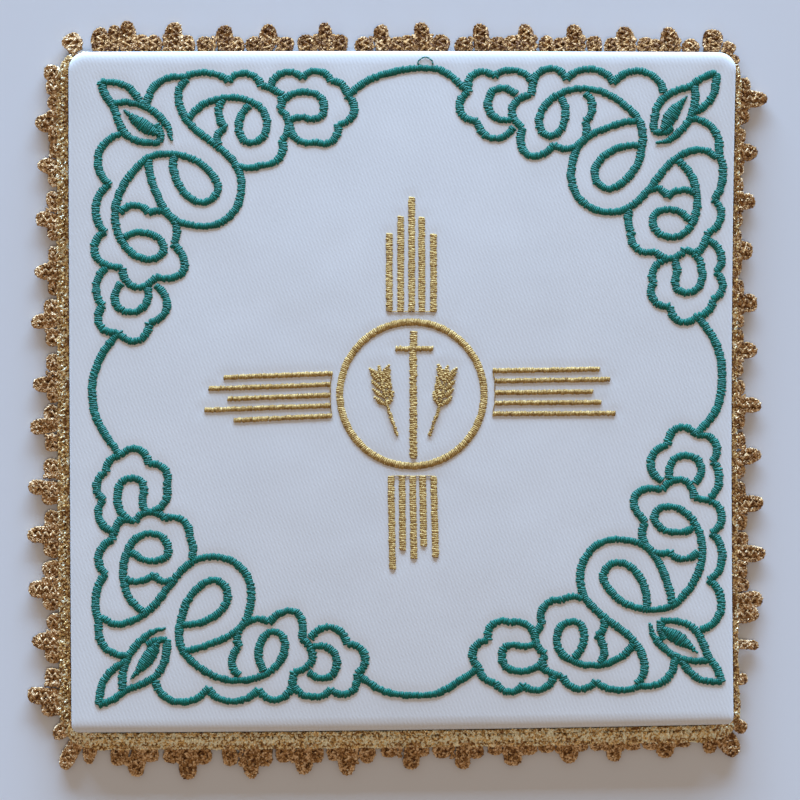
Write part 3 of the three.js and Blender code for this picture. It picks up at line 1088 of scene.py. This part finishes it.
def lobe(work, spot, inner, outer, half_width, shade):
    """One lobe of a picot: a loop of chain, a strand inside it and yarn in painted shade that fills it.
    """
    place, outward = spot
    leaning = outward.copy()
    leaning.rotate(Matrix.Rotation(rng.uniform(-LOBE_LEAN, LOBE_LEAN), 2))
    foot = place + outward * outer - leaning * outer, leaning
    half_width *= rng.uniform(*LOBE_SIZES)
    half = (outer - inner) / 2 - CHAIN_HALF
    middle = inner + CHAIN_HALF + half
    beat = rng.uniform(0, math.tau)
    loop = []
    for k in range(LOBE_STEPS + 1):
        turn = math.pi * (2 * LOBE_OPEN * k / LOBE_STEPS - LOBE_OPEN)
        full = math.copysign(abs(math.sin(turn)) ** LOBE_FULL, turn)
        full *= 1 + LOBE_TAPER * math.cos(turn)
        out = middle + half * math.cos(turn)
        across = (half_width - CHAIN_HALF) * full + LOBE_WAVER * math.sin(3 * turn + beat)
        loop.append(out_from(foot, out, across, LOBE_RISE * math.sin(3 * turn)))
    chain(work, loop, shade)
    sway = max(LEAST_SWAY, half_width - 2 * CHAIN_HALF - LOBE_WAVER)
    spur(work, foot, inner, outer - CHAIN_HALF * TIP_GAP, sway, shade)
    filling = []
    for share in (0, 0.5, 1):
        out = inner + (outer - 2 * CHAIN_HALF - inner) * share
        filling.append(out_from(foot, out, 0, -FILL_DROP))
    cord(work, filling, half_width - FILL_GAP, FILL_PAINTED_SHADE, flat=FILL_FLAT)


def on_side(i, at):
    """A spot on side i, with the way out; at is its x on the top and bottom, or else its y."""
    start = CORNERS[i]
    end = CORNERS[(i + 1) % 4]
    way = side_way(i)
    axis = "x" if abs(way.x) > abs(way.y) else "y"
    t = (at - start[axis]) / (end[axis] - start[axis])
    outward = Vector((way.y, -way.x))
    bowed = outward * start["bow"] * 4 * t * (1 - t)
    place = Vector((start["x"], start["y"])).lerp(Vector((end["x"], end["y"])), t)
    return place + bowed, outward


def header_at(i, k):
    """The width of the tape at a step along side i, which changes to the next side's at a corner."""
    gone = min(k, LACE_STEPS - k) / LACE_STEPS * SIDE_LENGTH
    near = i - 1 if k < LACE_STEPS / 2 else i + 1
    own = 0.5 + 0.5 * min(1, gone / CORNER_RUN)
    return own * LACE_SIDES[i]["header"] + (1 - own) * LACE_SIDES[near % 4]["header"]


def on_corner(i, degrees):
    """A spot on the tape's round corner i, at an angle from the right, with the way out."""
    turn = math.radians(degrees)
    outward = Vector((math.cos(turn), math.sin(turn)))
    return corner_place(i, LACE_RADIUS) + outward * LACE_RADIUS, outward


def edge_point(spot, out, k, row):
    """A point of a chain along one of the tape's edges, at step k."""
    waver = row["waver"] * math.sin(k * row["out_beat"])
    rise = TAPE_RISE * math.sin(k * row["up_beat"])
    return out_from(spot, out + waver, 0, TAPE_LIFT + rise)


def crochet_tape(tape, i):
    """The tape along side i: a chain in the seam and, where it is wide enough, the rest of it."""
    seam = []
    outer_row = []
    posts = []
    ground = []
    for k, spot in enumerate(lace_line[i * LACE_STEPS:(i + 1) * LACE_STEPS + 1]):
        header = header_at(i, k)
        seam.append(edge_point(spot, min(SEAM_GAP, header - SEAM_ROW["margin"]), k, SEAM_ROW))
        if header > OUTER_ROOM:
            outer_row.append(edge_point(spot, header - OUTER_ROW["margin"], k, OUTER_ROW))
        if header > POST_ROOM:
            out = (POST_START, header - POST_MARGIN)[k % 2] + rng.uniform(-POST_UNEVEN, POST_UNEVEN)
            aside = rng.uniform(-POST_ASIDE, POST_ASIDE)
            lift = TAPE_LIFT + rng.uniform(0, POST_UNEVEN)
            posts.append(out_from(spot, out, aside, lift))
            ground.append(out_from(spot, header / 2, 0, -GROUND_DROP))
    row = LACE_SIDES[i]
    # the seam row and the rest of the tape take their side's painted light and shade
    chain(tape, seam, row["seam_painted_shading"])
    if outer_row:
        chain(tape, outer_row, row["tape_painted_shading"])
    if posts:
        chain(tape, posts, row["tape_painted_shading"] + POST_TONE)
        # the yarn under the posts is painted dark as the shade between them
        cord(tape, ground[::GROUND_STEP], row["header"] / 2, GROUND_PAINTED_SHADE, flat=GROUND_FLAT)


def crochet_picots(lace, i):
    """The picots along side i and the lobes round its first corner."""
    row = LACE_SIDES[i]
    inner = row["header"] - HOLD
    for at, outer, aslant in row["picots"]:
        # a picot's tone is its side's painted light or shade, shifted at random
        tone = row["tone"] + rng.uniform(*PICOT_TONES)
        head_half_width = HEAD_HALF_WIDTH * rng.uniform(*HEAD_SIZES)
        lobe(lace, on_side(i, at), inner, outer, head_half_width, tone)
        for side in (-1, 1):
            lobe_outer = outer * row["lobe_share"] * rng.uniform(*LOBE_REACHES)
            aside = aslant + side * row["spacing"]
            lobe(lace, on_side(i, at + aside), inner, lobe_outer, LOBE_HALF_WIDTH, tone)
            spur(lace, on_side(i, at + aside / 2), inner, lobe_outer, SPUR_SWAY, tone)
    for at, outer, half_width in row["lone_lobes"]:
        lobe(lace, on_side(i, at), inner, outer, half_width, row["tone"])
    for extra in CORNER_LOBES:
        if extra["corner"] == i:
            spot = on_corner(i, extra["turn"])
            lobe(lace, spot, extra["inner"], extra["outer"], extra["half_width"], row["tone"])


lace_tones = (LACE_DARK, LACE_MIDDLE, LACE_LIGHT)
gold_lace = lurex(
    "gold_lace", lace_tones, fleck=0.4, roughness=0.6, glitter=0.9, metal=0.42, contrast=1.2
)
# the tape's finish, whose pale flecks are painted glints
painted_glint_tape_tones = (TAPE_DARK, TAPE_MIDDLE, TAPE_LIGHT)
painted_glint_gold_tape = lurex(
    "painted_glint_gold_tape", painted_glint_tape_tones, fleck=0.45, roughness=0.35, glitter=0.8, metal=0.25, contrast=1.7
)
lace_line = square_line(0, LACE_RADIUS, LACE_STEPS)
lace_line.append(lace_line[0])

for i, row in enumerate(LACE_SIDES):
    tape = Work()
    crochet_tape(tape, i)
    tape_piece = tape.piece(f"tape_{row['side']}", painted_glint_gold_tape)
    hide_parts("lace_trim")
    lace = Work()
    crochet_picots(lace, i)
    lace_piece = lace.piece(f"lace_{row['side']}", gold_lace)
    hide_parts("lace_trim")

# The floor is a plain pale table top. A broad, low window beyond the top of the face lights it, cool
# and soft. The room's warmer light comes from all round, and from a lamp overhead.
FLOOR_HALF = 2000
FLOOR_BLOTS = 60
FLOOR_TONES = ((0.745, 0.75, 0.76), (0.765, 0.77, 0.785))
ROOM_COLOUR = (1, 0.86, 0.77, 1)
ROOM_LIGHT = 0.27
LAMP_COLOUR = (1, 0.82, 0.66)
LAMP_POWER = 3.1
LAMP_SIZE = (200, 200)
LAMP_PLACE = Vector((150, -500, 1500))
WINDOW_COLOUR = (0.45, 0.67, 1)
WINDOW_POWER = 1200
WINDOW_SIZE = (6500, 1400)
WINDOW_PLACE = Vector((0, 5000, 840))

floor_mesh = bpy.data.meshes.new("floor")
floor_corners = [(x * FLOOR_HALF, y * FLOOR_HALF, 0) for x, y in ((-1, -1), (1, -1), (1, 1), (-1, 1))]
floor_mesh.from_pydata([MM * Vector(corner) for corner in floor_corners], [], [(0, 1, 2, 3)])
floor_finish = Finish("floor", Roughness=0.9, Specular_IOR_Level=0.2)
floor_colour = floor_finish.blend(floor_finish.speckle(FLOOR_BLOTS), *FLOOR_TONES)
floor_finish.feed(Base_Color=floor_colour)
floor_mesh.materials.append(floor_finish.material)
put("floor", floor_mesh)

world = bpy.data.worlds.new("room")
bpy.context.scene.world = world
world.use_nodes = True
background = world.node_tree.nodes["Background"]
background.inputs["Color"].default_value = ROOM_COLOUR
background.inputs["Strength"].default_value = ROOM_LIGHT


def area_light(name, size, power, colour, place):
    """A broad light of a width and a depth."""
    data = bpy.data.lights.new(name, "AREA")
    data.shape = "RECTANGLE"
    data.size = MM * size[0]
    data.size_y = MM * size[1]
    data.energy = power
    data.color = colour
    made = put(name, data)
    made.location = MM * place
    return made


window = area_light("window", WINDOW_SIZE, WINDOW_POWER, WINDOW_COLOUR, WINDOW_PLACE)
window.rotation_euler = (math.radians(-90), 0, 0)
lamp = area_light("lamp", LAMP_SIZE, LAMP_POWER, LAMP_COLOUR, LAMP_PLACE)
lamp.rotation_euler = (-LAMP_PLACE).to_track_quat("-Z", "Y").to_euler()

bpy.context.scene.view_settings.view_transform = "Standard"
